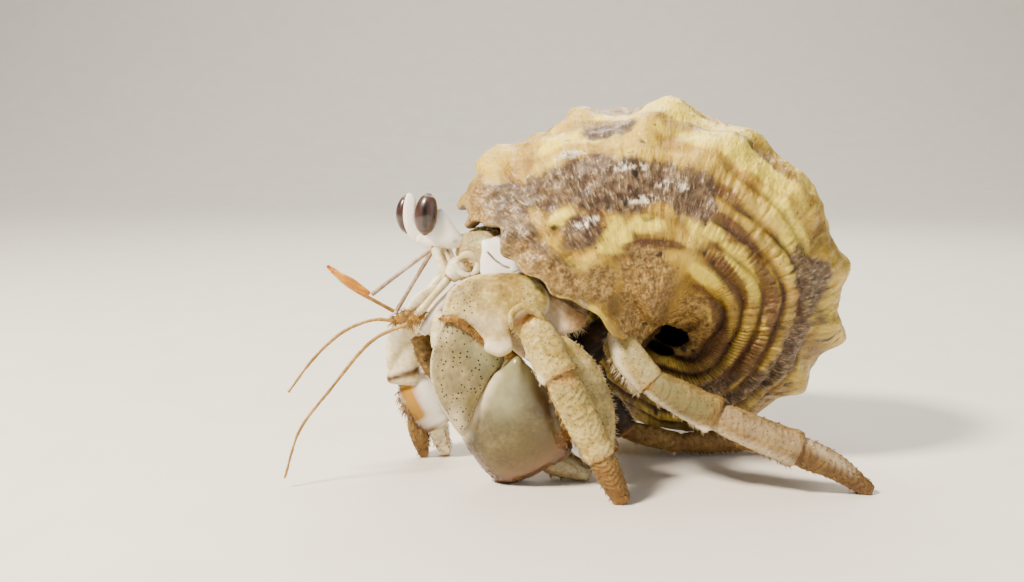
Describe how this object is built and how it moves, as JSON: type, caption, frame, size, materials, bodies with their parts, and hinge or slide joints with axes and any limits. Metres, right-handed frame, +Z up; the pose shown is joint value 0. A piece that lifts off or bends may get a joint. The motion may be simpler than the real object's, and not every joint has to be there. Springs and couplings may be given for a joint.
{
  "type": "hermit crab",
  "caption": "Land hermit crab model, still and life size, walking with its claws folded and its body in a worn ridged turban snail shell.",
  "frame": {"origin": "centre of the bounding box on the floor plane that the feet stand on", "axes": "+Z up, the crab walks towards -X, +Y towards its right side and the spire of the shell"},
  "size_m": [0.0671, 0.0392, 0.044],
  "materials": {
    "shell": "worn nacreous turban shell, chalky and pitted",
    "white_plate": "smooth chalk-white crab plate",
    "leg_plate": "cream crab plate with dots and fine wrinkles",
    "claw_palm": "smooth olive-green crab plate with granules",
    "soft_body": "soft leathery skin",
    "feeler": "ringed straw-coloured feeler",
    "cornea": "wet brown compound eye"
  },
  "bodies": {
    "root": {"shell": "shell", "eye_left_cornea": "cornea", "eye_right_cornea": "cornea", "eye_left_stalk": "white_plate", "eye_right_stalk": "white_plate", "eye_right_foot": "white_plate", "claw_left_palm": "claw_palm", "claw_left_finger": "claw_palm", "claw_left_merus": "leg_plate", "claw_left_carpus": "leg_plate", "leg2_left_dactylus": "leg_plate", "leg2_left_propodus": "leg_plate", "leg2_left_carpus": "leg_plate", "leg2_left_merus": "leg_plate", "leg2_left_ischium": "leg_plate", "leg3_left_dactylus": "leg_plate", "leg3_left_propodus": "leg_plate", "leg3_left_carpus": "leg_plate", "leg3_left_merus": "leg_plate", "leg3_left_ischium": "leg_plate", "claw_right_finger": "white_plate", "claw_right_palm": "white_plate", "claw_right_thumb": "white_plate", "claw_right_merus": "white_plate", "claw_right_carpus": "white_plate", "leg2_right_dactylus": "leg_plate", "leg2_right_propodus": "leg_plate", "leg2_right_carpus": "leg_plate", "leg2_right_merus": "leg_plate", "leg2_right_ischium": "leg_plate", "leg3_right_dactylus": "leg_plate", "leg3_right_propodus": "leg_plate", "leg3_right_carpus": "leg_plate", "leg3_right_merus": "leg_plate", "leg3_right_ischium": "leg_plate", "antennule_left_blade": "feeler", "antennule_left_rod": "feeler", "antennule_right_joint": "feeler", "antennule_right_blade": "feeler", "antennule_right_rod": "feeler", "antennule_left_base": "white_plate", "antennule_right_base": "white_plate", "antenna_left_whip": "feeler", "antenna_right_whip": "feeler", "antenna_left_joint": "white_plate", "antenna_left_base": "white_plate", "antenna_right_base": "white_plate", "maxilliped_left_tip": "white_plate", "maxilliped_left_arm": "white_plate", "maxilliped_right_tip": "white_plate", "maxilliped_right_arm": "white_plate", "carapace_shield": "white_plate", "carapace_rear": "soft_body", "thorax": "soft_body", "belly": "soft_body"}
  },
  "joints": []
}
